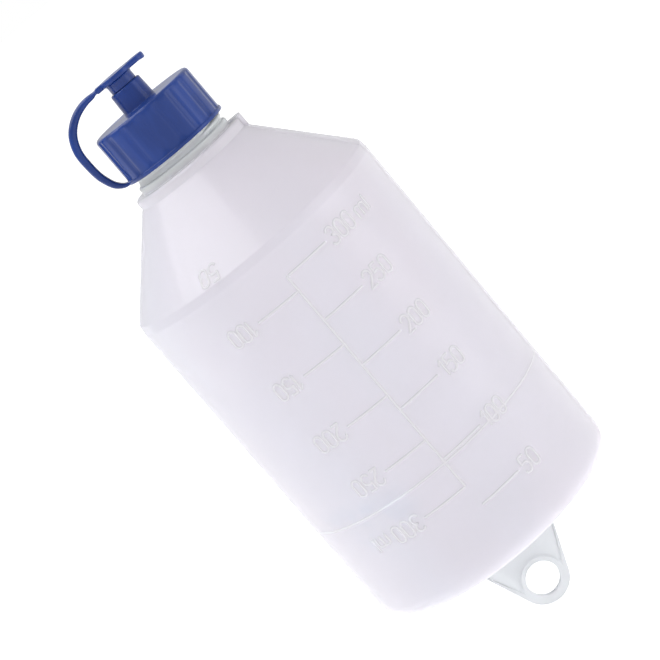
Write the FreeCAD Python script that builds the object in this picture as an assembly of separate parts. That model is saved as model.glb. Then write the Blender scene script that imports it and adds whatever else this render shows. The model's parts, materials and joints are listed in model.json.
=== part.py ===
"""Graduated hanging urine bottle: thin blow-moulded bottle, screw cap with nozzle, tethered plug, hanging tab.

Millimetres. The bottle's axis is Z and it stands on z = 0. The graduations face -Y, the plug's strap is
on the -X side, and the hanging tab lies in the plane y = 0 below the base.
"""
import FreeCAD, Part
import math
import os
from FreeCAD import Vector

# Bottle body
BODY_R = 35.25
WALL = 1.0
HEEL_FILLET = 5.0
RING_INNER_R = 29.0
RECESS_R = 28.4
RECESS_Z = 4.6
SHOULDER_Z = 96.8
SHOULDER_FILLET = 3.0
CONE_TOP_R = 16.5
CONE_TOP_Z = 117.0

# Neck
COLLAR_R = 16.05
COLLAR_TOP_Z = 119.9
COLLAR_FILLET = 0.8
LUG_REACH = 16.9
LUG_WIDTH = 5.0
LUG_TOP_Z = 120.3
BEAD_R = 13.55
BEAD_TOP_Z = 121.9
BEAD_FILLET = 0.7
NECK_ROOT_R = 12.4
NECK_BORE_R = 10.8
NECK_TOP_Z = 134.9

# Screw thread: right-handed, one start
LEAD = 4.233
THREAD_START_Z = 122.4
THREAD_START_DEG = -72.0
NECK_THREAD_R = 13.15
NECK_THREAD_TURNS = 2.0
RIDGE_ROOT_HALF = 0.85
RIDGE_CREST_HALF = 0.4
RIDGE_EMBED = 0.25

# Raised graduations on the front of the body
MARK_HEIGHT = 0.3
MARK_WIDTH = 0.6
SCALE_LOW_Z = 22.1
SCALE_HIGH_Z = 87.9
LINE_LENGTH = 12.4
UPRIGHT_LINES_Z = (16.4, 30.8, 46.6, 60.4, 74.2, 87.6)
INVERTED_LINES_Z = (22.4, 37.1, 51.1, 66.9, 83.3)

# Screw cap
CAP_R = 14.25
CAP_BOTTOM_Z = 123.9
CAP_TOP_Z = 137.1
CAP_TOP_FILLET = 1.0
CAP_BORE_R = 13.45
CAP_CEILING_Z = 136.0
CAP_THREAD_R = 12.7
CAP_THREAD_TURNS = 1.5
FLANGE_R = 14.5
FLANGE_HEIGHT = 0.9
FLUTES = 18
FLUTE_R = 1.0
FLUTE_DEPTH = 0.25
NOZZLE_R = 4.4
NOZZLE_TOP_Z = 142.9
NOZZLE_FILLET = 0.4
NOZZLE_BORE_R = 3.3

# Sealing washer, clear of the neck and of the cap's ceiling by the same gap
WASHER_GAP = 0.1
WASHER_R = 13.1
WASHER_HOLE_R = 10.4

# Plug
STEM_R = 3.25
STEM_BOTTOM_Z = 137.0
SHOULDER_R = 3.6
SHOULDER_GAP = 0.1
PLATE_R = 4.9
PLATE_BOTTOM_Z = 145.4
PLATE_THICKNESS = 1.4
PLATE_FILLET = 0.35
THUMB_R = 3.0
THUMB_X = 5.45
STRAP_SIDE_X = -6.2
STRAP_WIDTH = 4.0

# Plug strap: centre line (x, z) and thickness, from the plug's plate round to the cap's flange
STRAP_STATIONS = (
    (-6.3, 146.1, 1.2),
    (-9.6, 146.0, 1.6),
    (-13.5, 144.9, 2.1),
    (-17.4, 142.0, 2.7),
    (-19.2, 137.9, 2.9),
    (-19.4, 134.0, 2.8),
    (-18.6, 128.8, 2.2),
    (-16.9, 125.8, 1.7),
    (-14.2, 124.4, 1.0),
)

# Hanging tab
HINGE_Z = 2.4
TAB_ROOT_HALF = 15.4
TAB_THICKNESS = 2.0
TAB_POCKET = 0.35
TAB_RIM = 1.3
TAB_END_R = 6.9
HOLE_R = 4.4
HOLE_Z = -18.0
HOLE_RIM = 1.4
WEB_HALF = 12.0
WEB_THICKNESS = 0.8
WEB_GAP = 0.3

AXIS = Vector(0, 0, 1)
ORIGIN = Vector(0, 0, 0)


def disc(radius, bottom, top):
    """Cylinder on the Z axis between two heights."""
    return Part.makeCylinder(radius, top - bottom, Vector(0, 0, bottom))


def block(low, high):
    """Box between its lowest and its highest corner."""
    size = [top - bottom for bottom, top in zip(low, high)]
    return Part.makeBox(*size, Vector(*low))


def revolved(points):
    """Solid of revolution of a closed outline of (r, z) points."""
    corners = [Vector(r, 0, z) for r, z in points]
    face = Part.Face(Part.makePolygon(corners + corners[:1]))
    return face.revolve(ORIGIN, AXIS, 360)


def round_rims(solid, radius, *rims):
    """Fillet the circular edges of the given (r, z)."""
    edges = []
    for edge in solid.Edges:
        if not isinstance(edge.Curve, Part.Circle):
            continue
        for r, z in rims:
            if abs(edge.Curve.Radius - r) < 0.01 and abs(edge.Curve.Center.z - z) < 0.01:
                edges.append(edge)
    return solid.makeFillet(radius, edges)


def thread_ridge(wall_r, crest_r, start_z, start_deg, turns):
    """Helical ridge of trapezoid section that stands on a cylindrical wall."""
    inside = math.copysign(RIDGE_EMBED, wall_r - crest_r)
    section = Part.makePolygon([
        Vector(wall_r + inside, 0, -RIDGE_ROOT_HALF),
        Vector(crest_r, 0, -RIDGE_CREST_HALF),
        Vector(crest_r, 0, RIDGE_CREST_HALF),
        Vector(wall_r + inside, 0, RIDGE_ROOT_HALF),
        Vector(wall_r + inside, 0, -RIDGE_ROOT_HALF),
    ])
    path = Part.Wire(Part.makeHelix(LEAD, LEAD * turns, wall_r))
    ridge = path.makePipeShell([section], True, True)
    ridge.rotate(ORIGIN, AXIS, start_deg)
    ridge.translate(Vector(0, 0, start_z))
    return ridge


def cone_angle():
    """Slope of the shoulder cone above the horizontal."""
    return math.atan2(CONE_TOP_Z - SHOULDER_Z, BODY_R - CONE_TOP_R)


def inner_cone_z(radius):
    """Height at which the inside of the shoulder cone has this radius."""
    level_gap = WALL / math.sin(cone_angle())
    return SHOULDER_Z + (BODY_R - level_gap - radius) * math.tan(cone_angle())


def bottle_outside():
    """Body, heel, recessed base and shoulder cone as one filled solid."""
    solid = revolved([
        (0, RECESS_Z),
        (RECESS_R, RECESS_Z),
        (RING_INNER_R, 0),
        (BODY_R, 0),
        (BODY_R, SHOULDER_Z),
        (CONE_TOP_R, CONE_TOP_Z),
        (0, CONE_TOP_Z),
    ])
    solid = round_rims(solid, HEEL_FILLET, (BODY_R, 0))
    return round_rims(solid, SHOULDER_FILLET, (BODY_R, SHOULDER_Z))


def bottle_inside():
    """The hollow: the outside drawn in by the wall, and the neck's bore."""
    inner_r = BODY_R - WALL
    solid = revolved([
        (0, RECESS_Z + WALL),
        (RECESS_R + WALL, RECESS_Z + WALL),
        (RING_INNER_R + WALL, WALL),
        (inner_r, WALL),
        (inner_r, inner_cone_z(inner_r)),
        (NECK_BORE_R, inner_cone_z(NECK_BORE_R)),
        (NECK_BORE_R, NECK_TOP_Z + WALL),
        (0, NECK_TOP_Z + WALL),
    ])
    solid = round_rims(solid, HEEL_FILLET - WALL, (inner_r, WALL))
    return round_rims(solid, SHOULDER_FILLET - WALL, (inner_r, inner_cone_z(inner_r)))


def neck_outside():
    """Collar with its square lug, bead and threaded tube."""
    collar = round_rims(disc(COLLAR_R, CONE_TOP_Z - 1.0, COLLAR_TOP_Z), COLLAR_FILLET, (COLLAR_R, COLLAR_TOP_Z))
    lug = block((NECK_ROOT_R, -LUG_WIDTH / 2, CONE_TOP_Z - 0.6), (LUG_REACH, LUG_WIDTH / 2, LUG_TOP_Z))
    bead = round_rims(disc(BEAD_R, CONE_TOP_Z, BEAD_TOP_Z), BEAD_FILLET, (BEAD_R, BEAD_TOP_Z))
    tube = disc(NECK_ROOT_R, CONE_TOP_Z, NECK_TOP_Z)
    ridge = thread_ridge(NECK_ROOT_R, NECK_THREAD_R, THREAD_START_Z, THREAD_START_DEG, NECK_THREAD_TURNS)
    return collar.fuse([lug, bead, tube, ridge])


def graduations():
    """Centre line and scale lines, standing proud of the body's front."""
    bars = [block((-MARK_WIDTH / 2, -BODY_R - 1, SCALE_LOW_Z), (MARK_WIDTH / 2, 0, SCALE_HIGH_Z))]
    for z in UPRIGHT_LINES_Z:
        bars.append(block((0, -BODY_R - 1, z - MARK_WIDTH / 2), (LINE_LENGTH, 0, z + MARK_WIDTH / 2)))
    for z in INVERTED_LINES_Z:
        bars.append(block((-LINE_LENGTH, -BODY_R - 1, z - MARK_WIDTH / 2), (0, 0, z + MARK_WIDTH / 2)))
    sleeve = disc(BODY_R + MARK_HEIGHT, 0, SHOULDER_Z).cut(disc(BODY_R - WALL / 2, 0, SHOULDER_Z))
    return bars[0].fuse(bars[1:]).common(sleeve)


def hinge_web():
    """Thin rib under the base from which the tab's living hinge hangs."""
    bottom = HINGE_Z + TAB_THICKNESS / 2 + WEB_GAP
    return block((-WEB_HALF, -WEB_THICKNESS / 2, bottom), (WEB_HALF, WEB_THICKNESS / 2, RECESS_Z + WALL / 2))


def bottle_shell():
    """The whole bottle."""
    filled = bottle_outside().fuse([neck_outside(), graduations(), hinge_web()])
    return filled.cut(bottle_inside()).removeSplitter()


def flutes():
    """Shallow upright grooves round the cap's grip."""
    bottom = CAP_BOTTOM_Z + FLANGE_HEIGHT
    tool = disc(FLUTE_R, bottom, CAP_TOP_Z - CAP_TOP_FILLET)
    tool.translate(Vector(CAP_R + FLUTE_R - FLUTE_DEPTH, 0, 0))
    tools = []
    for index in range(FLUTES):
        groove = tool.copy()
        groove.rotate(ORIGIN, AXIS, 360 * index / FLUTES)
        tools.append(groove)
    return tools


def screw_cap():
    """Cap with grip, flange, internal thread and open nozzle."""
    body = round_rims(disc(CAP_R, CAP_BOTTOM_Z, CAP_TOP_Z), CAP_TOP_FILLET, (CAP_R, CAP_TOP_Z)).cut(flutes())
    flange = disc(FLANGE_R, CAP_BOTTOM_Z, CAP_BOTTOM_Z + FLANGE_HEIGHT)
    nozzle = round_rims(disc(NOZZLE_R, CAP_CEILING_Z, NOZZLE_TOP_Z), NOZZLE_FILLET, (NOZZLE_R, NOZZLE_TOP_Z))
    shell = body.fuse([flange, nozzle])
    shell = shell.cut([disc(CAP_BORE_R, CAP_BOTTOM_Z, CAP_CEILING_Z), disc(NOZZLE_BORE_R, CAP_BOTTOM_Z, NOZZLE_TOP_Z)])
    ridge_z = THREAD_START_Z + LEAD
    ridge = thread_ridge(CAP_BORE_R, CAP_THREAD_R, ridge_z, THREAD_START_DEG + 180, CAP_THREAD_TURNS)
    return shell.fuse(ridge).removeSplitter()


def sealing_washer():
    """Flat ring between the neck's rim and the cap's ceiling."""
    bottom = NECK_TOP_Z + WASHER_GAP
    top = CAP_CEILING_Z - WASHER_GAP
    return disc(WASHER_R, bottom, top).cut(disc(WASHER_HOLE_R, bottom, top))


def plug_plate():
    """Plate over the nozzle with a rounded thumb tab and the root of the strap."""
    top = PLATE_BOTTOM_Z + PLATE_THICKNESS
    thumb = disc(THUMB_R, PLATE_BOTTOM_Z, top)
    thumb.translate(Vector(THUMB_X, 0, 0))
    arm = block((0, -THUMB_R, PLATE_BOTTOM_Z), (THUMB_X, THUMB_R, top))
    root = block((STRAP_SIDE_X, -STRAP_WIDTH / 2, PLATE_BOTTOM_Z), (0, STRAP_WIDTH / 2, top))
    plate = disc(PLATE_R, PLATE_BOTTOM_Z, top).fuse([thumb, arm, root]).removeSplitter()
    rim = [edge for edge in plate.Edges if abs(edge.BoundBox.ZMin - top) < 0.01]
    return plate.makeFillet(PLATE_FILLET, rim)


def plug():
    """Plug: plate, shoulder on the nozzle's rim and stem in its bore."""
    shoulder = disc(SHOULDER_R, NOZZLE_TOP_Z + SHOULDER_GAP, PLATE_BOTTOM_Z + PLATE_THICKNESS / 2)
    stem = disc(STEM_R, STEM_BOTTOM_Z, PLATE_BOTTOM_Z)
    return plug_plate().fuse([shoulder, stem]).removeSplitter()


def strap_side(side):
    """Smooth edge of the strap, half its thickness to one side of the centre line."""
    points = []
    last = len(STRAP_STATIONS) - 1
    for index, (x, z, thickness) in enumerate(STRAP_STATIONS):
        before = STRAP_STATIONS[max(index - 1, 0)]
        after = STRAP_STATIONS[min(index + 1, last)]
        along = Vector(after[0] - before[0], 0, after[1] - before[1]).normalize()
        across = Vector(-along.z, 0, along.x)
        points.append(Vector(x, -STRAP_WIDTH / 2, z) + across * (side * thickness / 2))
    curve = Part.BSplineCurve()
    curve.interpolate(points)
    return curve.toShape(), points


def plug_strap():
    """Flexible strap that ties the plug to the cap's flange."""
    inner, inner_points = strap_side(1)
    outer, outer_points = strap_side(-1)
    ends = [Part.makeLine(inner_points[end], outer_points[end]) for end in (0, -1)]
    outline = Part.Wire(Part.__sortEdges__([inner, outer] + ends))
    return Part.Face(outline).extrude(Vector(0, STRAP_WIDTH, 0))


def tab_outline(inset):
    """Face of the tab: straight sides that run tangent into an arc round the hole."""
    root_x = TAB_ROOT_HALF - inset
    radius = TAB_END_R - inset
    rise = HINGE_Z - HOLE_Z
    lean = math.atan2(root_x, rise)
    tangent = lean + math.acos(radius / math.hypot(root_x, rise)) - math.pi / 2
    side_x = radius * math.cos(tangent)
    side_z = HOLE_Z - radius * math.sin(tangent)
    left = Vector(-side_x, 0, side_z)
    right = Vector(side_x, 0, side_z)
    root_left = Vector(-root_x, 0, HINGE_Z)
    root_right = Vector(root_x, 0, HINGE_Z)
    edges = [
        Part.makeLine(root_left, left),
        Part.Arc(left, Vector(0, 0, HOLE_Z - radius), right).toShape(),
        Part.makeLine(right, root_right),
        Part.makeLine(root_right, root_left),
    ]
    return Part.Face(Part.Wire(edges))


def tab_layer(face, low, high):
    """Slab of a tab outline between two depths along Y."""
    slab = face.extrude(Vector(0, high - low, 0))
    slab.translate(Vector(0, low, 0))
    return slab


def hanging_tab():
    """Tab with a raised rim, a hole with its own rim, and a round root on the hinge axis."""
    half = TAB_THICKNESS / 2
    plate = tab_layer(tab_outline(0), -half, half)
    root = Part.makeCylinder(half, 2 * TAB_ROOT_HALF, Vector(-TAB_ROOT_HALF, 0, HINGE_Z), Vector(1, 0, 0))
    boss = Part.makeCylinder(HOLE_R + HOLE_RIM, TAB_THICKNESS, Vector(0, -half, HOLE_Z), Vector(0, 1, 0))
    hole = Part.makeCylinder(HOLE_R, TAB_THICKNESS, Vector(0, -half, HOLE_Z), Vector(0, 1, 0))
    field = tab_outline(TAB_RIM)
    pockets = [tab_layer(field, half - TAB_POCKET, half), tab_layer(field, -half, TAB_POCKET - half)]
    return plate.cut(pockets).fuse([root, boss]).cut(hole).removeSplitter()


def main():
    """Write one STEP file per node."""
    os.makedirs("parts", exist_ok=True)
    nodes = {
        "bottle_shell": bottle_shell(),
        "hanging_tab": hanging_tab(),
        "sealing_washer": sealing_washer(),
        "screw_cap": screw_cap(),
        "plug": plug(),
        "plug_strap": plug_strap(),
    }
    for name, shape in nodes.items():
        shape.exportStep(f"parts/{name}.step")
        box = shape.BoundBox
        print(f"{name}: {len(shape.Solids)} solid(s), valid {shape.isValid()}, {shape.Volume:.0f} mm3,"
              f" z {box.ZMin:.2f} to {box.ZMax:.2f}")


main()
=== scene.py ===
"""A graduated hanging urine bottle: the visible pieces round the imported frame, their finishes and the studio.

Sizes inside the classes are millimetres in the row frame and become metres when a mesh is made. The
bottle's axis is Z, the graduations face -Y, the plug's strap is on -X and the tab hangs below the base.
"""
from __future__ import annotations

import json
import logging
import math
from dataclasses import dataclass, field
from enum import Enum
from typing import Any, Callable, Sequence

import bpy
import numpy as np
from mathutils import Matrix, Vector


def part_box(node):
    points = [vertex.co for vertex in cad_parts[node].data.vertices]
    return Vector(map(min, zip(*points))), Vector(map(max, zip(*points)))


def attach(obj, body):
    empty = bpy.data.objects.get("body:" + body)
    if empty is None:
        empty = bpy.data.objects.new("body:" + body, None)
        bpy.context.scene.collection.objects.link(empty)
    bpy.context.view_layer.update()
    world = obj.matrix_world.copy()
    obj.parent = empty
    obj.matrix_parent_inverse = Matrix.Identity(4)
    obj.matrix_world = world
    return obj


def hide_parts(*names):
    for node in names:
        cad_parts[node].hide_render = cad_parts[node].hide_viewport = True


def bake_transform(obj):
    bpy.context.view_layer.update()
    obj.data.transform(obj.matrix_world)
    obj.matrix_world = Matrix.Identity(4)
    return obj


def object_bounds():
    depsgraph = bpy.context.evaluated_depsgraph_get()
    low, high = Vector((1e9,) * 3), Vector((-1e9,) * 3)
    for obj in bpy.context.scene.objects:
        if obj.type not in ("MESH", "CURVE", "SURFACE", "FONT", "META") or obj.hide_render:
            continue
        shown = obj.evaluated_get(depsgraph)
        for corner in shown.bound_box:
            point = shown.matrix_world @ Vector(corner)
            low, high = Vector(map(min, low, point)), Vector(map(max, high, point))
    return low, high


LOG = logging.getLogger("urine_bottle")
MM = 0.001
SAME_POINT = 1e-5
# How finely the grids are divided: points round a ring, number of rings, or millimetres between rings.
BODY_SIDES = 288
BODY_STEP = 3.0
CAP_SIDES = 540
CAP_STEP = 0.9
WASHER_SIDES = 180
TAB_SIDES = 360
WEB_SIDES = 32
PLUG_SIDES = 240
STRAP_SIDES = 28
STRAP_RINGS = 120
PEN_STEP = 0.06
LINE_STEP = 0.3
SEAM_STEP = 1.5
HUMP_POINTS = 9
# Angles in degrees above which an edge stays sharp, where the usual one is too low.
RIDGE_CREASE = 60
CAP_CREASE = 40
PLUG_CREASE = 42
# Threads: sections and fades in one turn, and the least height of a section.
SECTIONS_PER_TURN = 96
FADES_PER_TURN = 8
THINNEST = 0.04
Array = np.ndarray
Colour = tuple[float, float, float]
Point = tuple[float, float, float]
Corner = tuple[float, float, float]
THREAD_SECTION: tuple[tuple[float, float], ...] = (
    (-0.85, 0), (-0.62, 0.42), (-0.42, 0.88), (-0.2, 1), (0.2, 1), (0.42, 0.88), (0.62, 0.42), (0.85, 0),
    (0.85, -0.35), (-0.85, -0.35),
)
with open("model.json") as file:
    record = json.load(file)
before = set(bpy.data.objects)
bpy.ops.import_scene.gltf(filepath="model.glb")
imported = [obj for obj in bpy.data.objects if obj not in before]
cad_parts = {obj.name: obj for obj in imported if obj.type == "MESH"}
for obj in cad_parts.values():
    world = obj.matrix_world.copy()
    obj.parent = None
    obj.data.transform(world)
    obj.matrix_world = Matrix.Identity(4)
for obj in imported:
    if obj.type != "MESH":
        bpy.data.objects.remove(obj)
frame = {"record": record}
CAD_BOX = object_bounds()


class Body(Enum):
    """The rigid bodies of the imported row."""

    BOTTLE = "bottle"
    TAB = "tab"
    WASHER = "washer"
    CAP = "cap"
    PLUG = "plug"


class Slot(Enum):
    """The material slots of the record."""

    BOTTLE = "bottle_plastic"
    TAB = "tab_plastic"
    WASHER = "washer_rubber"
    CAP = "cap_plastic"


# ---------------------------------------------------------------- outlines and surfaces


def node_box(node: str) -> tuple[Array, Array]:
    """Lowest and highest corner of a CAD node at rest.

    Args:
        node: name of the CAD node.

    Returns:
        The two corners in millimetres.
    """
    low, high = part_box(node)
    return np.array(low) / MM, np.array(high) / MM


def arc_points(centre: Array, start: Array, end: Array, steps: int) -> Array:
    """Points on the short circular arc from start to end round centre.

    The angle runs evenly from the start's angle to the end's, the short way round.

    Args:
        centre: the arc's centre.
        start: its first point.
        end: its last point.
        steps: number of points.

    Returns:
        The points, (steps, 2).
    """
    first = math.atan2(*(start - centre)[::-1])
    last = math.atan2(*(end - centre)[::-1])
    turn = (last - first + math.pi) % (2 * math.pi) - math.pi
    angles = first + turn * np.linspace(0, 1, steps)
    radius = np.linalg.norm(start - centre)
    return centre + radius * np.stack([np.cos(angles), np.sin(angles)], axis=1)


def rounded(corners: Sequence[Corner], closed: bool = False, steps: int = 8) -> Array:
    """An outline whose corners are replaced by tangent arcs.

    At each corner the arc's centre lies on the bisector, at the radius over the sine of half the corner's
    angle, and the arc touches both sides.

    Args:
        corners: (a, b, corner radius) in order.
        closed: True if the last corner joins the first.
        steps: points on each arc.

    Returns:
        The outline's points, (n, 2).
    """
    points = np.array([corner[:2] for corner in corners], float)
    pieces = []
    count = len(corners)
    for index, (_, _, radius) in enumerate(corners):
        here = points[index]
        is_end = not closed and index in (0, count - 1)
        if is_end or radius <= 0:
            pieces.append(here[None])
            continue
        back = points[index - 1] - here
        ahead = points[(index + 1) % count] - here
        back /= np.linalg.norm(back)
        ahead /= np.linalg.norm(ahead)
        half = math.acos(np.clip(back @ ahead, -1, 1)) / 2
        middle = (back + ahead) / np.linalg.norm(back + ahead)
        centre = here + middle * radius / math.sin(half)
        reach = radius / math.tan(half)
        pieces.append(arc_points(centre, here + back * reach, here + ahead * reach, steps))
    return np.concatenate(pieces)


def spaced(points: Array, step: float, closed: bool = False) -> Array:
    """The outline with every run longer than step divided evenly, its own points kept and repeats dropped.

    Args:
        points: the outline, (n, 2) or (n, 3).
        step: longest run wanted.
        closed: True if the last point joins the first.

    Returns:
        The denser outline.
    """
    ends = np.concatenate([points, points[:1]]) if closed else points
    moved = np.linalg.norm(np.diff(ends, axis=0), axis=1) > SAME_POINT
    ends = ends[np.concatenate([[True], moved])]
    lengths = np.linalg.norm(np.diff(ends, axis=0), axis=1)
    parts = np.maximum(np.ceil(lengths / step).astype(int), 1)
    where = np.repeat(np.arange(len(parts)), parts)
    offset = np.arange(parts.sum()) - np.repeat(np.cumsum(parts) - parts, parts)
    share = (offset / parts[where])[:, None]
    dense = ends[where] * (1 - share) + ends[where + 1] * share
    return dense if closed else np.concatenate([dense, ends[-1:]])


def turned(profile: Array, segments: int) -> Array:
    """Rings of a surface of revolution: each (r, z) of the profile goes round Z at even angles.

    Args:
        profile: (n, 2) radii and heights.
        segments: points on each ring.

    Returns:
        Rings, (n, segments, 3).
    """
    angle = np.linspace(0, 2 * np.pi, segments, endpoint=False)
    r, z = profile[:, 0, None], profile[:, 1, None]
    return np.stack([r * np.cos(angle), r * np.sin(angle), z + 0 * angle], axis=2)


def band_faces(rings: int, around: int, closed: bool) -> Array:
    """Quads between neighbouring rings of a grid that is closed round each ring.

    Args:
        rings: number of rings.
        around: points on each ring.
        closed: True if the last ring joins the first.

    Returns:
        Vertex numbers of each face.
    """
    row = np.arange(rings if closed else rings - 1)[:, None]
    column = np.arange(around)[None, :]
    after = (row + 1) % rings
    beside = (column + 1) % around
    quads = [row * around + column, row * around + beside, after * around + beside, after * around + column]
    return np.stack(np.broadcast_arrays(*quads), axis=2).reshape(-1, 4)


@dataclass
class Surface:
    """A closed surface being gathered from grids of rings, in millimetres."""

    points: list[Array] = field(default_factory=list)
    faces: list[tuple[int, ...]] = field(default_factory=list)
    total: int = 0

    def add(self, rings: Array, closed: bool = False) -> "Surface":
        """Add a grid. An open one is closed by a pole in the middle of its first and last ring.

        Args:
            rings: (n, around, 3) points.
            closed: True if the last ring joins the first.

        Returns:
            The surface itself.
        """
        count, around = rings.shape[:2]
        points = rings.reshape(-1, 3)
        faces = band_faces(count, around, closed)
        triangles = np.zeros((0, 3), int)
        if not closed:
            poles = np.stack([rings[0].mean(axis=0), rings[-1].mean(axis=0)])
            points = np.concatenate([points, poles])
            here = np.arange(around)
            beside = (here + 1) % around
            last = (count - 1) * around
            south = np.stack([beside, here, 0 * here + count * around], axis=1)
            north = np.stack([last + here, last + beside, 0 * here + count * around + 1], axis=1)
            triangles = np.concatenate([south, north])
        corners = np.concatenate([faces[:, [0, 1, 2]], faces[:, [0, 2, 3]], triangles])
        a, b, c = (points[corners[:, index]] for index in range(3))
        if np.einsum("ij,ij->", a, np.cross(b, c)) < 0:
            faces, triangles = faces[:, ::-1], triangles[:, ::-1]
        self.points.append(points)
        self.faces += (faces + self.total).tolist() + (triangles + self.total).tolist()
        self.total += len(points)
        return self

    def piece(self, name: str, material: bpy.types.Material, slot: Slot,
              crease_deg: float = 35) -> bpy.types.Object:
        """Make the mesh object, smooth except at creases.

        Args:
            name: the piece's name.
            material: its finish.
            slot: the record's slot it belongs to; not used.
            crease_deg: edges that turn more than this stay sharp.

        Returns:
            The new object, at the world's origin.
        """
        mesh = bpy.data.meshes.new(name)
        mesh.from_pydata((np.concatenate(self.points) * MM).tolist(), [], self.faces)
        mesh.shade_smooth()
        mesh.set_sharp_from_angle(angle=math.radians(crease_deg))
        mesh.materials.append(material)
        made = bpy.data.objects.new(name, mesh)
        bpy.context.scene.collection.objects.link(made)
        LOG.info("%s: %d faces", name, len(mesh.polygons))
        return made


def smooth_step(share: Array) -> Array:
    """0 to 1 along a smooth step: three times the square less twice the cube.

    Args:
        share: place on the step, 0 to 1.

    Returns:
        Height of the step.
    """
    return share * share * (3 - 2 * share)


def helix_ridge(
    wall_r: float, crest_r: float, lead: float, turns: float, start: tuple[float, float],
) -> Array:
    """Rings of a thread ridge: a rounded trapezoid along a helix, fading into the wall at both ends.

    The section's height follows a smooth step over the first and the last eighth of a turn, and its width
    goes down to half there.

    Args:
        wall_r: radius of the wall it stands on.
        crest_r: radius of its crest.
        lead: rise in one turn.
        turns: length in turns.
        start: (angle in degrees, height) of its first section.

    Returns:
        Rings, one per section.
    """
    share = np.linspace(0, 1, int(turns * SECTIONS_PER_TURN))
    angle = math.radians(start[0]) + share * turns * 2 * np.pi
    fade = smooth_step(np.clip(np.minimum(share, 1 - share) * turns * FADES_PER_TURN, THINNEST, 1))[:, None]
    across, rise = np.array(THREAD_SECTION).T
    height = np.where(rise > 0, rise * fade, rise)
    radius = wall_r + (crest_r - wall_r) * height
    z = start[1] + (share * turns * lead)[:, None] + across * (0.5 + 0.5 * fade)
    return np.stack([radius * np.cos(angle)[:, None], radius * np.sin(angle)[:, None], z], axis=2)


# ---------------------------------------------------------------- shader maths


@dataclass(frozen=True)
class Field:
    """A number that varies over a surface. Arithmetic on it adds Math nodes."""

    bench: "Bench"
    socket: bpy.types.NodeSocket

    def _math(self, operation: str, *terms: "Field | float") -> "Field":
        """Join terms through one Math node.

        Args:
            operation: the node's operation.
            terms: its inputs in order.

        Returns:
            The result.
        """
        return self.bench.node("ShaderNodeMath", {"operation": operation}, dict(enumerate(terms)))

    def __add__(self, other: "Field | float") -> "Field":
        """Sum.

        Args:
            other: a field or a plain number.

        Returns:
            The result.
        """
        return self._math("ADD", self, other)

    __radd__ = __add__

    def __mul__(self, other: "Field | float") -> "Field":
        """Product.

        Args:
            other: a field or a plain number.

        Returns:
            The result.
        """
        return self._math("MULTIPLY", self, other)

    __rmul__ = __mul__

    def __sub__(self, other: "Field | float") -> "Field":
        """Difference.

        Args:
            other: a field or a plain number.

        Returns:
            The result.
        """
        return self._math("SUBTRACT", self, other)

    def __rsub__(self, other: "Field | float") -> "Field":
        """Difference, from the other.

        Args:
            other: a field or a plain number.

        Returns:
            The result.
        """
        return self._math("SUBTRACT", other, self)

    def smooth(self, low: float, high: float) -> "Field":
        """A smooth step.

        Args:
            low: value at and below which the step is 0.
            high: value at and above which it is 1.

        Returns:
            The step.
        """
        settings = {"interpolation_type": "SMOOTHSTEP"}
        return self.bench.node(
            "ShaderNodeMapRange", settings, {"Value": self, "From Min": low, "From Max": high})


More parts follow.
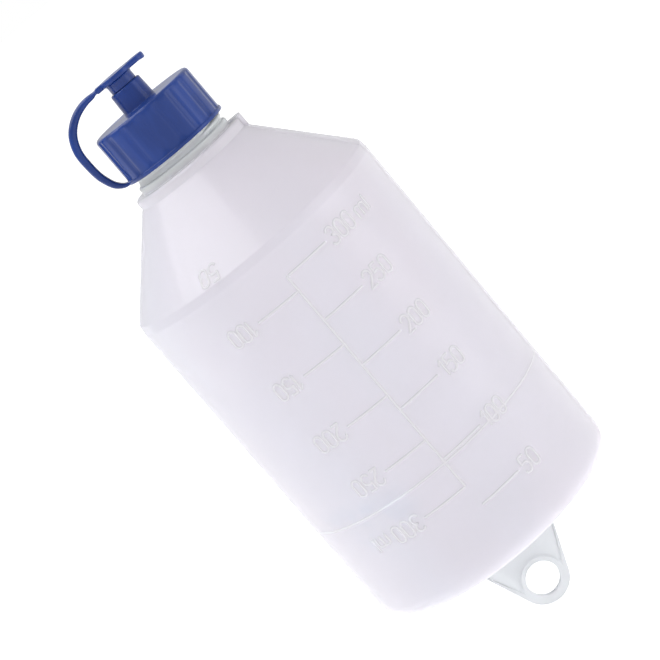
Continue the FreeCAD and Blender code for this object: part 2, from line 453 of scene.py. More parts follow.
class Bench:
    """The node tree of a material or a world."""

    def __init__(self, owner: bpy.types.Material | bpy.types.World) -> None:
        """Start with an empty tree.

        Args:
            owner: the material or the world.
        """
        owner.use_nodes = True
        self.owner = owner
        self.tree = owner.node_tree
        self.tree.nodes.clear()

    def node(self, kind: str, settings: dict[str, Any], inputs: dict[Any, Any], output: Any = 0) -> Field:
        """Add a node.

        Args:
            kind: the node's type.
            settings: attributes set first, such as the operation.
            inputs: value or Field for each socket, by name or number.
            output: name or number of the output wanted.

        Returns:
            The output as a Field.
        """
        made = self.tree.nodes.new(kind)
        for key, value in settings.items():
            setattr(made, key, value)
        for key, value in inputs.items():
            if isinstance(value, Field):
                self.tree.links.new(value.socket, made.inputs[key])
            else:
                made.inputs[key].default_value = value
        socket = made.outputs[output] if len(made.outputs) else None
        return Field(self, socket)

    def place(self) -> Field:
        """Object coordinates.

        Returns:
            The coordinates as a vector.
        """
        return self.node("ShaderNodeTexCoord", {}, {}, "Object")

    def axis(self, name: str) -> Field:
        """One of the object coordinates.

        Args:
            name: "X", "Y" or "Z".

        Returns:
            The coordinate in metres.
        """
        return self.node("ShaderNodeSeparateXYZ", {}, {0: self.place()}, name)

    def noise(self, scale: float, detail: float = 3, stretch: Point = (1, 1, 1)) -> Field:
        """Noise from 0 to 1.

        Args:
            scale: cells in a metre.
            detail: how many finer layers are added.
            stretch: factor on each axis; the noise is drawn out along one where it is under 1.

        Returns:
            The noise.
        """
        settings = {"operation": "MULTIPLY"}
        where = self.node("ShaderNodeVectorMath", settings, {0: self.place(), 1: stretch})
        return self.node("ShaderNodeTexNoise", {}, {"Vector": where, "Scale": scale, "Detail": detail}, "Fac")

    def blend(self, share: Field, low: Colour | Field, high: Colour | Field) -> Field:
        """Colour between low and high.

        Args:
            share: 0 for low, 1 for high.
            low: a colour.
            high: the other colour.

        Returns:
            The colour.
        """
        ends = [end if isinstance(end, Field) else (*end, 1) for end in (low, high)]
        sockets = {"Factor": share, 6: ends[0], 7: ends[1]}
        return self.node("ShaderNodeMix", {"data_type": "RGBA"}, sockets, 2)

    def bump(self, height: Field, depth: float, strength: float) -> Field:
        """Normal of a surface with a relief.

        Args:
            height: the relief, 0 to 1.
            depth: its depth in metres.
            strength: how much of it is felt.

        Returns:
            The normal.
        """
        sockets = {"Height": height, "Distance": depth, "Strength": strength}
        return self.node("ShaderNodeBump", {}, sockets)

    def finish(self, inputs: dict[str, Any]) -> bpy.types.Material:
        """Close the material with a Principled shader.

        Args:
            inputs: value or Field for each of the shader's sockets.

        Returns:
            The material.
        """
        shader = self.node("ShaderNodeBsdfPrincipled", {}, inputs)
        self.node("ShaderNodeOutputMaterial", {}, {"Surface": shader})
        return self.owner


@dataclass(frozen=True)
class NaturalPlastic:
    """Uncoloured blow-moulded polyethylene: milky, waxy and a little uneven in thickness."""

    name: str
    thin: Colour = (0.915, 0.912, 0.98)
    thick: Colour = (0.925, 0.885, 0.945)
    # neck colour: a greener tint of the plastic, made lighter as painted light against the shade under the cap
    neck_tint_and_painted_light: Colour = (0.955, 0.985, 0.985)
    neck_z: tuple[float, float] = (0.119, 0.1215)
    # painted shade: the darker bluish band low on the left of the front is shade painted into the wall's colour
    painted_shade_tint: Colour = (0.79, 0.84, 0.945)
    painted_shade_z: float = 0.0285
    painted_shade_reach: float = 0.0085
    painted_shade_x: tuple[float, float] = (-0.03, -0.004)
    painted_shade_y: tuple[float, float] = (-0.022, -0.008)
    lean_x: tuple[float, float] = (-0.03, 0.03)
    transmission: float = 0.5
    roughness: float = 0.36
    coat: float = 0.35

    def make(self) -> bpy.types.Material:
        """Clouded colour from thick to thin wall, a fine mould texture and slow waves in the surface.

        The wall is thinner, so bluer, towards -X: half of the share is a smooth step along X. The denser
        neck is a little clearer and greener; its lighter colour is partly painted light that lifts the shade
        under the cap. Low on the left of the front the wall has painted shade, a darker bluish band: its
        share is a smooth hump in height times smooth steps towards -X and -Y, clouded.

        Returns:
            The material.
        """
        bench = Bench(bpy.data.materials.new(self.name))
        leftward = 1 - bench.axis("X").smooth(*self.lean_x)
        clouds = 0.5 * bench.noise(28, 2, (1, 1, 0.45)).smooth(0.3, 0.7) + 0.5 * leftward
        grain = bench.noise(1500, 2)
        waves = bench.noise(110, 1, (1, 1, 0.35))
        height = bench.axis("Z")
        rise = height.smooth(self.painted_shade_z - self.painted_shade_reach, self.painted_shade_z)
        fall = height.smooth(self.painted_shade_z, self.painted_shade_z + self.painted_shade_reach)
        far_left = 1 - bench.axis("X").smooth(*self.painted_shade_x)
        frontward = 1 - bench.axis("Y").smooth(*self.painted_shade_y)
        patches = bench.noise(90, 2).smooth(0.35, 0.6)
        # share of the painted shade band, low on the front left
        painted_shade_share = (rise - fall) * far_left * frontward * patches
        wall = bench.blend(painted_shade_share, bench.blend(clouds, self.thick, self.thin), self.painted_shade_tint)
        return bench.finish({
            "Base Color": bench.blend(height.smooth(*self.neck_z), wall, self.neck_tint_and_painted_light),
            "Roughness": self.roughness + 0.1 * bench.noise(240),
            "Normal": bench.bump(grain * 0.25 + waves * 2.0, 0.00009, 0.6),
            "Transmission Weight": self.transmission,
            "IOR": 1.5,
            "Specular IOR Level": 0.35,
            "Coat Weight": self.coat,
            "Coat Roughness": 0.03,
        })


@dataclass(frozen=True)
class ColouredPlastic:
    """Blue moulded polyethylene with a soft gloss."""

    name: str = "blue_moulded_plastic"
    deep: Colour = (0.01, 0.033, 0.17)
    light: Colour = (0.014, 0.046, 0.235)
    roughness: float = 0.3

    def make(self) -> bpy.types.Material:
        """Faint flow marks in the colour, drawn out along Z, and a fine spark-eroded grain.

        Returns:
            The material.
        """
        bench = Bench(bpy.data.materials.new(self.name))
        flow = bench.noise(160, 3, (1, 1, 0.25)).smooth(0.35, 0.65)
        grain = bench.noise(2600, 2)
        return bench.finish({
            "Base Color": bench.blend(flow, self.deep, self.light),
            "Roughness": self.roughness + 0.12 * bench.noise(500),
            "Normal": bench.bump(grain, 0.00005, 0.35),
            "Specular IOR Level": 0.12,
            "Coat Weight": 0.4,
            "Coat Roughness": 0.15,
        })


@dataclass(frozen=True)
class SealRubber:
    """White elastomer of the sealing washer."""

    name: str = "white_seal_rubber"
    base: Colour = (0.72, 0.72, 0.7)
    shade: Colour = (0.64, 0.64, 0.61)

    def make(self) -> bpy.types.Material:
        """Matt, with a fine dusty mottling and a soft grain.

        Returns:
            The material.
        """
        bench = Bench(bpy.data.materials.new(self.name))
        dust = bench.noise(700, 4)
        return bench.finish({
            "Base Color": bench.blend(dust, self.shade, self.base),
            "Roughness": 0.62 + 0.15 * dust,
            "Normal": bench.bump(bench.noise(3000, 2), 0.00006, 0.5),
        })


@dataclass(frozen=True)
class StudioPaper:
    """Plain white paper floor."""

    name: str = "studio_paper"
    shade: Colour = (0.93, 0.93, 0.94)
    base: Colour = (0.95, 0.95, 0.96)
    glow: float = 0.55

    def make(self) -> bpy.types.Material:
        """Almost white, with a barely visible mottling, lifted by a little light of its own.

        Returns:
            The material.
        """
        bench = Bench(bpy.data.materials.new(self.name))
        return bench.finish({
            "Base Color": bench.blend(bench.noise(40), self.shade, self.base),
            "Roughness": 0.9,
            "Emission Color": (1, 1, 1, 1),
            "Emission Strength": self.glow,
        })


# ---------------------------------------------------------------- the bottle


@dataclass
class Stroke:
    """One pen stroke of a figure, on a square of height 1: corners (x, y, radius)."""

    corners: tuple[Corner, ...]
    closed: bool = False


FIGURES: dict[str, tuple[float, tuple[Stroke, ...]]] = {
    "0": (0.50, (Stroke(((0, 0, 0.25), (0.5, 0, 0.25), (0.5, 1, 0.25), (0, 1, 0.25)), True),)),
    "1": (0.28, (Stroke(((0, 0.72, 0), (0.26, 1, 0.02), (0.26, 0, 0))),)),
    "2": (0.50, (
        Stroke(((0, 0.72, 0), (0, 1, 0.25), (0.5, 1, 0.25), (0.5, 0.58, 0.2), (0, 0, 0.02), (0.5, 0, 0))),
    )),
    "3": (0.50, (
        Stroke(((0, 0.8, 0), (0, 1, 0.2), (0.48, 1, 0.24), (0.48, 0.53, 0.22), (0.16, 0.53, 0))),
        Stroke(((0.16, 0.53, 0), (0.5, 0.53, 0.24), (0.5, 0, 0.26), (0, 0, 0.2), (0, 0.22, 0))),
    )),
    "5": (0.50, (
        Stroke(((0.48, 1, 0), (0.06, 1, 0.02), (0.02, 0.55, 0.02), (0.5, 0.68, 0.26), (0.5, 0, 0.27),
                (0, 0, 0.2), (0, 0.2, 0))),
    )),
    "m": (0.86, (
        Stroke(((0, 0, 0), (0, 0.68, 0))),
        Stroke(((0, 0.5, 0), (0, 0.68, 0.16), (0.43, 0.68, 0.18), (0.43, 0, 0))),
        Stroke(((0.43, 0.5, 0), (0.43, 0.68, 0.16), (0.86, 0.68, 0.18), (0.86, 0, 0))),
    )),
    "l": (0.05, (Stroke(((0.02, 0, 0), (0.02, 1, 0))),)),
    " ": (0.12, ()),
}


# The parting line's section: (along the skin, above the skin), with its foot inside the wall.
SEAM_SECTION: tuple[tuple[float, float], ...] = (
    (-0.22, 0), (-0.1, 0.07), (0.1, 0.07), (0.22, 0), (0.22, -0.2), (-0.22, -0.2),
)


@dataclass
class Bottle:
    """The bottle: wall, thread, lug, parting lines and the two raised scales."""

    wall: float = 1.0
    heel: float = 5.0
    ring_inner: float = 29.0
    recess_r: float = 28.4
    recess_z: float = 4.6
    shoulder_fillet: float = 3.0
    band_low: float = 94.4
    band_high: float = 96.6
    band_lean: float = 0.4
    cone_top_r: float = 16.5
    cone_top_z: float = 117.0
    collar_r: float = 16.05
    collar_top: float = 119.9
    bead_r: float = 13.55
    bead_top: float = 121.9
    neck_r: float = 12.4
    thread_r: float = 13.15
    bore_r: float = 10.8
    lug_reach: float = 16.9
    lug_width: float = 5.0
    lug_top: float = 120.3
    lead: float = 4.233
    thread_turns: float = 2.0
    thread_start: tuple[float, float] = (-72.0, 122.4)
    mark_height: float = 0.12
    mark_width: float = 0.75
    mark_sink: float = 0.004
    mark_root: float = 0.25
    least_fade: float = 0.03
    figure_height: float = 4.5
    figure_squeeze: float = 0.95
    figure_gap: float = 0.8
    line_start: float = 0.2
    line_overrun: float = 0.3
    line_end: float = 12.4
    figures_start: float = 13.6
    cone_figure: tuple[str, float, float] = ("50", -11.5, 2.9)
    seam_deg: float = -15.0
    witness_z: float = 29.9
    witness_reach: float = 47.0
    witness_crest: float = 0.05
    upright_scale: tuple[tuple[str, float], ...] = (
        ("50", 16.4), ("100", 30.8), ("150", 46.6), ("200", 60.4), ("250", 74.2), ("300 ml", 87.6),
    )
    inverted_scale: tuple[tuple[str, float], ...] = (
        ("100", 83.3), ("150", 66.9), ("200", 51.1), ("250", 37.1), ("300 ml", 22.4),
    )

    def __post_init__(self) -> None:
        """Take the outer radius and the height from the CAD shell."""
        _, high = node_box("bottle_shell")
        self.body_r = high[0]
        self.neck_top = high[2]
        foot_r = self.body_r - self.band_lean
        self.slope = math.atan2(self.cone_top_z - self.band_high, foot_r - self.cone_top_r)

    def inner_cone_z(self, radius: float) -> float:
        """Height at which the inside of the shoulder cone has a radius.

        Args:
            radius: the radius.

        Returns:
            The height.
        """
        foot_r = self.body_r - self.band_lean - self.wall / math.sin(self.slope)
        return self.band_high + (foot_r - radius) * math.tan(self.slope)

    def profile(self) -> Array:
        """The shell's section from the base's centre up the outside, over the rim and down the inside.

        Returns:
            Points (radius, z).
        """
        inner_r = self.body_r - self.wall
        return rounded([
            (0.02, self.recess_z, 0),
            (self.recess_r, self.recess_z, 0.8),
            (self.ring_inner, 0, 0.25),
            (self.body_r, 0, self.heel),
            (self.body_r, self.band_low, 1.2),
            (self.body_r - self.band_lean, self.band_high, 0.8),
            (self.cone_top_r, self.cone_top_z, 0.5),
            (self.collar_r, self.cone_top_z + 0.4, 0.2),
            (self.collar_r, self.collar_top, 0.8),
            (self.bead_r - 0.1, self.collar_top, 0.3),
            (self.bead_r, self.bead_top, 0.6),
            (self.neck_r + 0.45, self.bead_top, 0.25),
            (self.neck_r, self.bead_top + 1.2, 0.4),
            (self.neck_r, self.neck_top, 0.35),
            (self.bore_r, self.neck_top, 0.35),
            (self.bore_r, self.inner_cone_z(self.bore_r), 2.0),
            (inner_r, self.inner_cone_z(inner_r), self.shoulder_fillet),
            (inner_r, self.wall, self.heel - self.wall),
            (self.ring_inner + self.wall, self.wall, 0.2),
            (self.recess_r + self.wall, self.recess_z + self.wall, 0.8),
            (0.02, self.recess_z + self.wall, 0),
        ])

    def shell(self) -> Surface:
        """The wall, turned from its section.

        Returns:
            The surface.
        """
        return Surface().add(turned(spaced(self.profile(), BODY_STEP), BODY_SIDES))

    def lug(self) -> Surface:
        """Square lug on the collar: a rounded square carried outwards from inside the bead to its soft front.

        The stations are pairs of distance from the axis and size of the square.

        Returns:
            The surface.
        """
        half = self.lug_width / 2
        low = self.cone_top_z - 0.4
        outline = rounded([
            (-half, low, 0.3),
            (half, low, 0.3),
            (half, self.lug_top, 0.35),
            (-half, self.lug_top, 0.35),
        ], closed=True)
        centre = outline.mean(axis=0)
        x, size = np.array([
            (self.bead_r - 0.4, 1.0),
            (self.lug_reach - 0.3, 1.0),
            (self.lug_reach - 0.08, 0.97),
            (self.lug_reach, 0.9),
            (self.lug_reach, 0.4),
        ]).T
        plane = centre + (outline - centre) * size[:, None, None]
        return Surface().add(np.concatenate([0 * plane[:, :, :1] + x[:, None, None], plane], axis=2))

    def on_body(self, local: Array) -> Array:
        """Wrap points onto the body: the run is an arc length from the front, to the right.

        Args:
            local: points (run, z, height above the skin).

        Returns:
            Points (x, y, z).
        """
        run, z, height = np.moveaxis(local, -1, 0)
        radius = self.body_r + height
        angle = run / self.body_r
        return np.stack([radius * np.sin(angle), -radius * np.cos(angle), z], axis=-1)

    def on_cone(self, local: Array) -> Array:
        """Wrap points onto the shoulder cone.

        The slant is measured up the cone's side from its foot, and the height along the cone's own normal.

        Args:
            local: points (run, slant, height above the skin).

        Returns:
            Points (x, y, z).
        """
        run, slant, height = np.moveaxis(local, -1, 0)
        skin = self.body_r - self.band_lean - slant * math.cos(self.slope)
        radius = skin + height * math.sin(self.slope)
        angle = run / skin.mean()
        z = self.band_high + slant * math.sin(self.slope) + height * math.cos(self.slope)
        return np.stack([radius * np.sin(angle), -radius * np.cos(angle), z], axis=-1)

    def ridge(self, path: Array, closed: bool, crest: float) -> Array:
        """Rings of a raised stroke: a soft hump carried along a path on the skin, rounded off at open ends.

        The hump's height is the crest's times the squared cosine of an angle that is a quarter turn at each
        edge. Its edges lie a little below the skin, and its root lies inside the wall.

        Args:
            path: (n, 2) run and z.
            closed: True if the path is a loop.
            crest: height of the hump's middle above the skin.

        Returns:
            Rings in (run, z, height).
        """
        half = self.mark_width / 2
        if closed:
            ahead = np.roll(path, -1, axis=0) - np.roll(path, 1, axis=0)
            fade = np.ones(len(path))
        else:
            ahead = np.gradient(path, axis=0)
            run = np.concatenate([[0], np.cumsum(np.linalg.norm(np.diff(path, axis=0), axis=1))])
            near = np.clip(np.minimum(run, run[-1] - run) / half, 0, 1)
            fade = np.sqrt(np.clip(1 - (1 - near) ** 2, self.least_fade, 1))
        ahead = ahead / np.linalg.norm(ahead, axis=1, keepdims=True)
        side = np.stack([-ahead[:, 1], ahead[:, 0]], axis=1)
        place_across = np.linspace(1, -1, HUMP_POINTS)
        hump = np.cos(place_across * np.pi / 2) ** 2
        across = np.concatenate([place_across, [-1, 1]]) * half
        height = np.concatenate([hump * crest - self.mark_sink, [-self.mark_root, -self.mark_root]])
        place = path[:, None] + side[:, None] * across[None, :, None] * fade[:, None, None]
        lift = np.where(height > 0, height * fade[:, None], height + 0 * fade[:, None])
        return np.concatenate([place, lift[:, :, None]], axis=2)

    def write(self, surface: Surface, text: str, start: float, middle: float, turned_over: bool,
              onto: Callable[[Array], Array]) -> None:
        """Add the strokes of a text.

        Args:
            surface: gathers the strokes.
            text: the figures.
            start: run at which the first figure begins; a turned-over text runs the other way from it.
            middle: z of the text's middle.
            turned_over: True to turn the text half a turn round its start.
            onto: wraps (run, z, height) onto the skin.
        """
        sign = -1 if turned_over else 1
        pen = 0.0
        for letter in text:
            width, strokes = FIGURES[letter]
            for stroke in strokes:
                outline = spaced(rounded(stroke.corners, stroke.closed), PEN_STEP, stroke.closed)
                path = outline * self.figure_height * np.array([self.figure_squeeze, 1])
                path = path + np.array([pen, -self.figure_height / 2])
                path = np.array([start, middle]) + sign * path
                surface.add(onto(self.ridge(path, stroke.closed, self.mark_height)), stroke.closed)
            pen += width * self.figure_height * self.figure_squeeze + self.figure_gap

    def line(
        self, surface: Surface, start: tuple[float, float], end: tuple[float, float], crest: float,
    ) -> None:
        """Add a straight raised line between two points (run, z) on the body.

        Args:
            surface: gathers the line.
            start: its first point.
            end: its last point.
            crest: its height above the skin.
        """
        path = spaced(np.array([start, end]), LINE_STEP)
        surface.add(self.on_body(self.ridge(path, False, crest)))

    def scales(self) -> Surface:
        """Centre line, scale lines and figures of both scales.

        Returns:
            The surface.
        """
        surface = Surface()
        low = self.inverted_scale[-1][1] - self.line_overrun
        high = self.upright_scale[-1][1] + self.line_overrun
        self.line(surface, (0, low), (0, high), self.mark_height)
        for text, z in self.upright_scale:
            self.line(surface, (self.line_start, z), (self.line_end, z), self.mark_height)
            self.write(surface, text, self.figures_start, z, False, self.on_body)
        for text, z in self.inverted_scale:
            self.line(surface, (-self.line_start, z), (-self.line_end, z), self.mark_height)
            self.write(surface, text, -self.figures_start, z, True, self.on_body)
        text, run, slant = self.cone_figure
        self.write(surface, text, run, slant, True, self.on_cone)
        return surface

    def seam(self, degrees: float) -> Array:
        """Rings of the parting line: a fine ridge that follows the outside from the heel to the collar.

        Args:
            degrees: direction of the line round Z, from +X.

        Returns:
            Rings across the line.
        """
        outside = rounded([
            (self.ring_inner + 1.6, 0.05, 0),
            (self.body_r, 0.05, self.heel),
            (self.body_r, self.band_low, 1.2),
            (self.body_r - self.band_lean, self.band_high, 0.8),
            (self.cone_top_r + 0.1, self.cone_top_z - 0.1, 0),
        ])
        path = spaced(outside, SEAM_STEP)
        ahead = np.gradient(path, axis=0)
        ahead /= np.linalg.norm(ahead, axis=1, keepdims=True)
        outward = np.stack([ahead[:, 1], -ahead[:, 0]], axis=1)
        across, lift = np.array(SEAM_SECTION).T
        section = path[:, None] + outward[:, None] * lift[None, :, None]
        direction = math.radians(degrees)
        r, z = section[:, :, 0], section[:, :, 1]
        x = r * math.cos(direction) - across * math.sin(direction)
        y = r * math.sin(direction) + across * math.cos(direction)
        return np.stack([x, y, z], axis=2)

    def build(self, plastic: bpy.types.Material, mark_plastic: bpy.types.Material) -> None:
        """Make the bottle's pieces and let them ride on the bottle.

        Args:
            plastic: finish of the wall.
            mark_plastic: finish of the raised marks.
        """
        shell = self.shell().piece("bottle_wall", plastic, Slot.BOTTLE)
        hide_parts("bottle_shell")
        thread = Surface().add(helix_ridge(
            self.neck_r, self.thread_r, self.lead, self.thread_turns, self.thread_start))
        seams = Surface().add(self.seam(self.seam_deg)).add(self.seam(self.seam_deg + 180))
        witness = Surface()
        ends = (-self.witness_reach, self.witness_z), (self.witness_reach, self.witness_z)
        self.line(witness, *ends, self.witness_crest)
        pieces = [
            shell,
            thread.piece("neck_thread", plastic, Slot.BOTTLE, RIDGE_CREASE),
            self.lug().piece("collar_lug", plastic, Slot.BOTTLE),
            self.scales().piece("raised_scales", mark_plastic, Slot.BOTTLE, RIDGE_CREASE),
            seams.piece("parting_lines", plastic, Slot.BOTTLE, RIDGE_CREASE),
            witness.piece("witness_line", mark_plastic, Slot.BOTTLE, RIDGE_CREASE),
        ]
        for piece in pieces:
            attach(piece, Body.BOTTLE.value)


# ---------------------------------------------------------------- the hanging tab


@dataclass
class Tab:
    """Hanging tab below the base, and the thin web it folds on."""

    half_thickness: float = 1.0
    field_half: float = 0.65
    rim: float = 1.3
    hole_r: float = 4.4
    hole_rim: float = 1.4
    root_half: float = 15.4
    web_half_width: float = 12.0
    web_half_thickness: float = 0.3
    web_overlap: float = 0.3
    bend_below: float = 0.6
    web_sunk: float = 0.7
    web_thinning: float = 0.35
    web_rings: int = 15
    edge_soft: float = 0.35

    def __post_init__(self) -> None:
        """Take the hole's and the hinge's places from the frame."""
        low, high = node_box("hanging_tab")
        mounts = {mount["name"]: mount for mount in frame["record"]["mounts"]}
        self.hole_z = mounts["hanging_hole"]["pos_m"][2] / MM
        self.end_r = self.hole_z - low[2]
        self.top_z = high[2]

    def reach(self, angle: Array) -> Array:
        """Distance from the hole's centre to the tab's edge in each direction.

        A side is a line at the end's radius from the hole's centre, so its distance is that radius over the
        cosine of the angle from its normal. Before the normal the end's arc holds, and the root's edge cuts
        the side off.

        Args:
            angle: directions, from +X towards +Z.

        Returns:
            The distances.
        """
        rise = self.top_z - self.hole_z
        shoulder = rise - self.half_thickness
        painted_shade_share = np.arctan2(np.sin(angle), np.abs(np.cos(angle)))
        span = math.hypot(self.root_half, shoulder)
        normal = math.atan2(shoulder, self.root_half) - math.acos(self.end_r / span)
        side = self.end_r / np.cos(np.clip(painted_shade_share - normal, 0, 1.5))
        root = rise / np.maximum(np.sin(painted_shade_share), 0.01)
        return np.minimum(side, root)

    def section(self, reach: Array) -> tuple[Array, Array]:
        """Distance from the hole's centre and depth of each point of the tab's section.

        The rows run from the hole's edge over its rim, down to the thinner field, up the outer rim and over
        the outer edge.

        Args:
            reach: outer edge in each direction.

        Returns:
            Distances and depths, (points, directions).
        """
        deep = np.clip((reach - self.rim - self.hole_r - self.hole_rim) / 1.2, 0, 1)
        face = self.half_thickness - (self.half_thickness - self.field_half) * deep
        inner = np.minimum(self.hole_r + self.hole_rim, reach - self.rim)
        outer = np.maximum(reach - self.rim, inner)
        soft = self.edge_soft
        flat = 0 * reach + self.half_thickness
        step = 0.3 * self.half_thickness + 0.7 * face
        rows = [
            (self.hole_r + 0 * reach, flat - soft),
            (self.hole_r + 0.1 + 0 * reach, flat - 0.1),
            (self.hole_r + soft + 0 * reach, flat),
            (inner - 0.2, flat),
            (inner, step),
            (inner + 0.15 * deep, face),
            (inner + 0.5 * (outer - inner), face),
            (outer - 0.15 * deep, face),
            (outer, step),
            (outer + 0.2, flat),
            (reach - soft, flat),
            (reach - 0.1, flat - 0.12),
            (reach, flat - soft),
        ]
        distance = np.stack([row[0] for row in rows])
        depth = np.stack([row[1] for row in rows])
        return np.concatenate([distance, distance[::-1]]), np.concatenate([depth, -depth[::-1]])

    def plate(self) -> Surface:
        """The tab: its section carried round the hole, out to the outline.

        Returns:
            The surface.
        """
        angle = np.linspace(0, 2 * np.pi, TAB_SIDES, endpoint=False)
        distance, depth = self.section(self.reach(angle))
        rings = np.stack([distance * np.cos(angle), depth, self.hole_z + distance * np.sin(angle)], axis=2)
        return Surface().add(rings, closed=True)

    def web(self, top: float) -> Surface:
        """The thin web between the base and the tab's root: a rounded slot carried down.

        It is thinnest half-way, where the real web bends, by the thinning's share.

        Args:
            top: height of its upper end, inside the bottle's base.

        Returns:
            The surface.
        """
        z = np.linspace(top, self.top_z - self.web_sunk, self.web_rings)
        thin = 1 - self.web_thinning * np.sin(np.linspace(0, math.pi, self.web_rings))
        angle = np.linspace(0, 2 * np.pi, WEB_SIDES, endpoint=False)
        x = np.sign(np.cos(angle)) * np.abs(np.cos(angle)) ** 0.2 * self.web_half_width
        y = np.sin(angle) * self.web_half_thickness
        return Surface().add(np.stack([x + 0 * z[:, None], y * thin[:, None], z[:, None] + 0 * x], axis=2))

    def build(self, plastic: bpy.types.Material, base_z: float) -> None:
        """Make the tab and its web.

        Args:
            plastic: the finish.
            base_z: underside of the bottle's recessed base.
        """
        plate = self.plate().piece("tab_plate", plastic, Slot.TAB)
        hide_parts("hanging_tab")
        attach(plate, Body.TAB.value)
        web = self.web(base_z + self.web_overlap).piece("tab_web", plastic, Slot.TAB)
        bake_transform(web)


# ---------------------------------------------------------------- cap, washer, plug and strap


@dataclass
class Cap:
    """Blue screw cap with shallow flutes, bottom flange, nozzle and inner thread."""

    grip_r: float = 14.25
    flange_height: float = 0.9
    top_z: float = 137.1
    top_fillet: float = 1.0
    bore_r: float = 13.45
    ceiling_z: float = 136.0
    nozzle_r: float = 4.4
    nozzle_bore: float = 3.3
    thread_r: float = 12.7
    flutes: int = 18
    flute_depth: float = 0.24
    flute_half_angle: float = 0.055
    flute_wave: float = 0.25
    fade_low: float = 0.4
    fade_high: float = 0.9
    plain_top: float = 0.35
    grip_wall: float = 0.4
    lead: float = 4.233
    thread_turns: float = 1.5
    thread_start: tuple[float, float] = (108.0, 126.633)

    def __post_init__(self) -> None:
        """Take the flange and the heights from the CAD cap."""
        low, high = node_box("screw_cap")
        self.bottom_z = low[2]
        self.nozzle_top = high[2]
        self.flange_r = high[0]

    def profile(self) -> Array:
        """The cap's section: flange, grip, top, nozzle, bore, ceiling and inside wall, as a closed loop.

        Returns:
            Points (radius, z).
        """
        flange_top = self.bottom_z + self.flange_height
        return rounded([
            (self.bore_r, self.bottom_z, 0.2),
            (self.flange_r, self.bottom_z, 0.25),
            (self.flange_r, flange_top, 0.3),
            (self.grip_r, flange_top + 0.1, 0.15),
            (self.grip_r, self.top_z, self.top_fillet),
            (self.nozzle_r + 0.15, self.top_z, 0.35),
            (self.nozzle_r - 0.1, self.nozzle_top, 0.45),
            (self.nozzle_bore, self.nozzle_top, 0.2),
            (self.nozzle_bore, self.ceiling_z, 0.2),
            (self.bore_r, self.ceiling_z, 0.5),
        ], closed=True, steps=7)

    def shell(self) -> Surface:
        """The cap turned from its section, with the flutes pressed into its grip.

        A flute is a narrow valley in the radius every 20 degrees: the depth times a bell of the angle from
        the nearest flute, on a shallow wave. It fades out at the flange and below the top edge.

        Returns:
            The surface.
        """
        rings = turned(spaced(self.profile(), CAP_STEP, closed=True), CAP_SIDES)
        radius = np.hypot(rings[..., 0], rings[..., 1])
        angle = np.arctan2(rings[..., 1], rings[..., 0])
        z = rings[..., 2]
        step = 2 * np.pi / self.flutes
        off = (angle + step / 2) % step - step / 2
        valley = np.exp(-(off / self.flute_half_angle) ** 2)
        valley = valley + self.flute_wave * np.cos(off / step * 2 * np.pi)
        low = np.clip((z - self.bottom_z - self.flange_height) / self.fade_low, 0, 1)
        high = np.clip((self.top_z - self.plain_top - z) / self.fade_high, 0, 1)
        on_grip = (radius > self.bore_r + self.grip_wall) & (z > self.bottom_z + self.flange_height)
        cut = np.where(on_grip, self.flute_depth * np.clip(valley, 0, 1) * low * high, 0)
        rings[..., :2] *= (1 - cut / radius)[..., None]
        return Surface().add(rings, closed=True)

    def build(self, plastic: bpy.types.Material) -> None:
        """Make the cap's pieces and let them ride on the cap.

        Args:
            plastic: the finish.
        """
        shell = self.shell().piece("cap_shell", plastic, Slot.CAP, CAP_CREASE)
        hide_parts("screw_cap")
        ridge = Surface().add(helix_ridge(
            self.bore_r, self.thread_r, self.lead, self.thread_turns, self.thread_start))
        thread = ridge.piece("cap_thread", plastic, Slot.CAP, RIDGE_CREASE)
        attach(shell, Body.CAP.value)
        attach(thread, Body.CAP.value)


@dataclass
class Washer:
    """Flat sealing washer inside the cap."""

    hole_r: float = 10.4
    edge: float = 0.25

    def build(self, rubber: bpy.types.Material) -> None:
        """Turn the washer from a rounded rectangle and let it ride on its body.

        Args:
            rubber: the finish.
        """
        low, high = node_box("sealing_washer")
        outline = rounded([
            (self.hole_r, low[2], self.edge),
            (high[0], low[2], self.edge),
            (high[0], high[2], self.edge),
            (self.hole_r, high[2], self.edge),
        ], closed=True, steps=6)
        surface = Surface().add(turned(outline, WASHER_SIDES), closed=True)
        ring = surface.piece("washer_ring", rubber, Slot.WASHER)
        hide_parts("sealing_washer")
        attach(ring, Body.WASHER.value)


